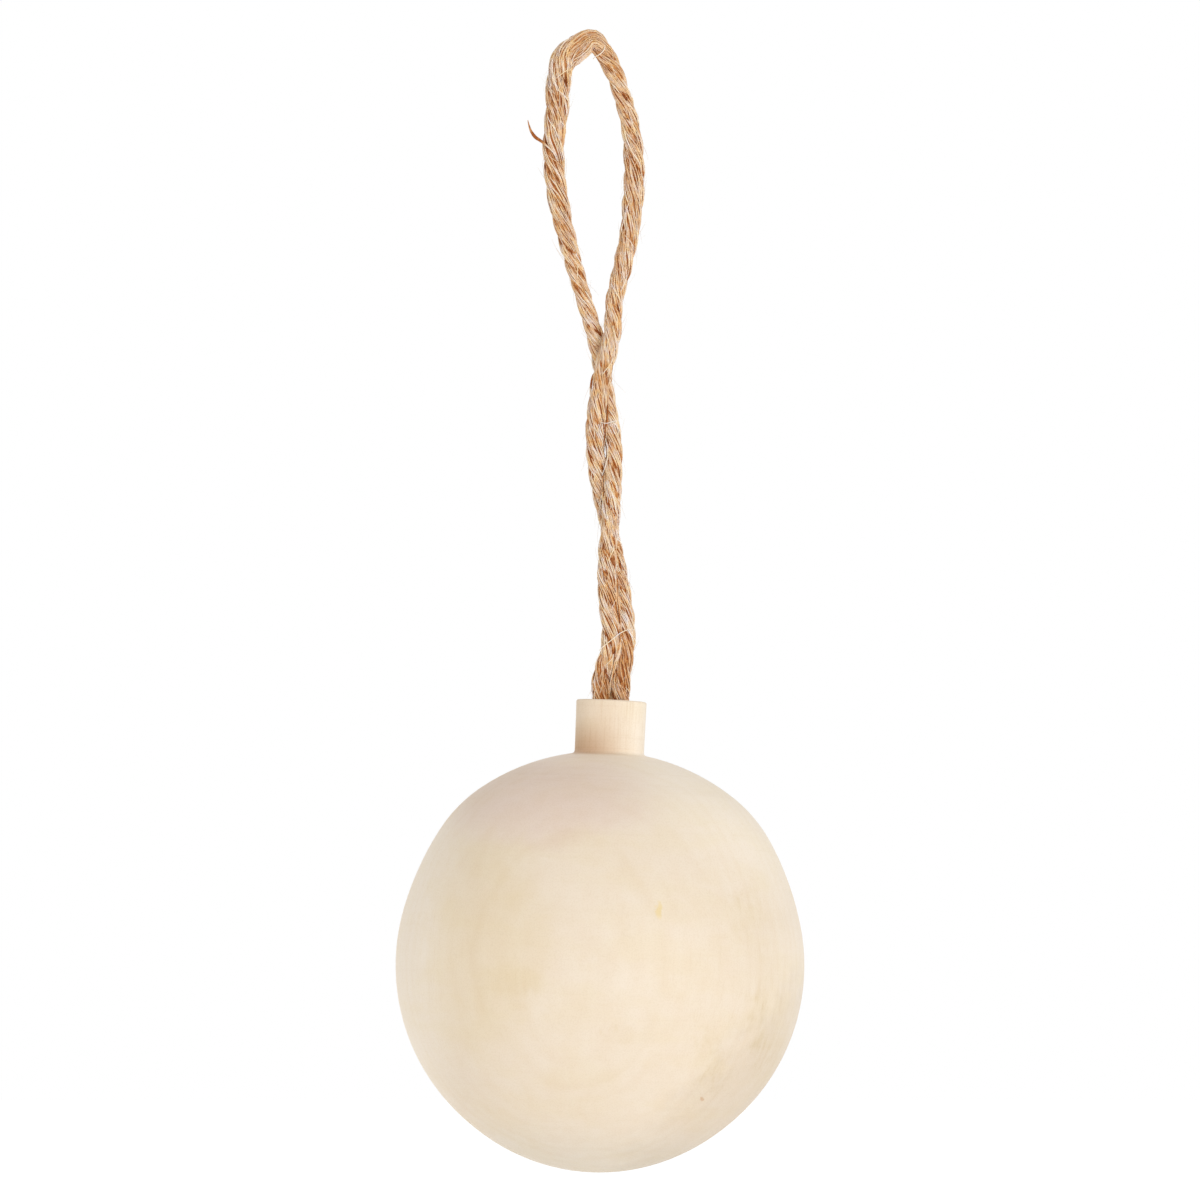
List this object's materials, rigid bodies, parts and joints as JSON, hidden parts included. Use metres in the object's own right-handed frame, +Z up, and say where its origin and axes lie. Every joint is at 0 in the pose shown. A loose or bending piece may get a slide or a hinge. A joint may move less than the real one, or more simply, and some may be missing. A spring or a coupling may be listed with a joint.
{
  "type": "wooden christmas ornament",
  "caption": "Turned wooden bauble, a near-round ball with a short neck, hanging on a twisted loop of jute twine that is glued into the neck.",
  "frame": {"origin": "inside of the twine loop at its top, where a hook or twig carries it", "axes": "+Z up as it hangs, +X to the right seen from the front, -Y the front; the wood's lathe axis leans 2.5 degrees from +Z towards +X"},
  "size_m": [0.08, 0.08, 0.2236],
  "materials": {
    "pale_wood": "bare, finely sanded, matt",
    "jute": "raw three-ply jute, hairy and matt"
  },
  "bodies": {
    "root": {"turned_ball": "pale_wood", "twine_loop": "jute"}
  },
  "joints": []
}
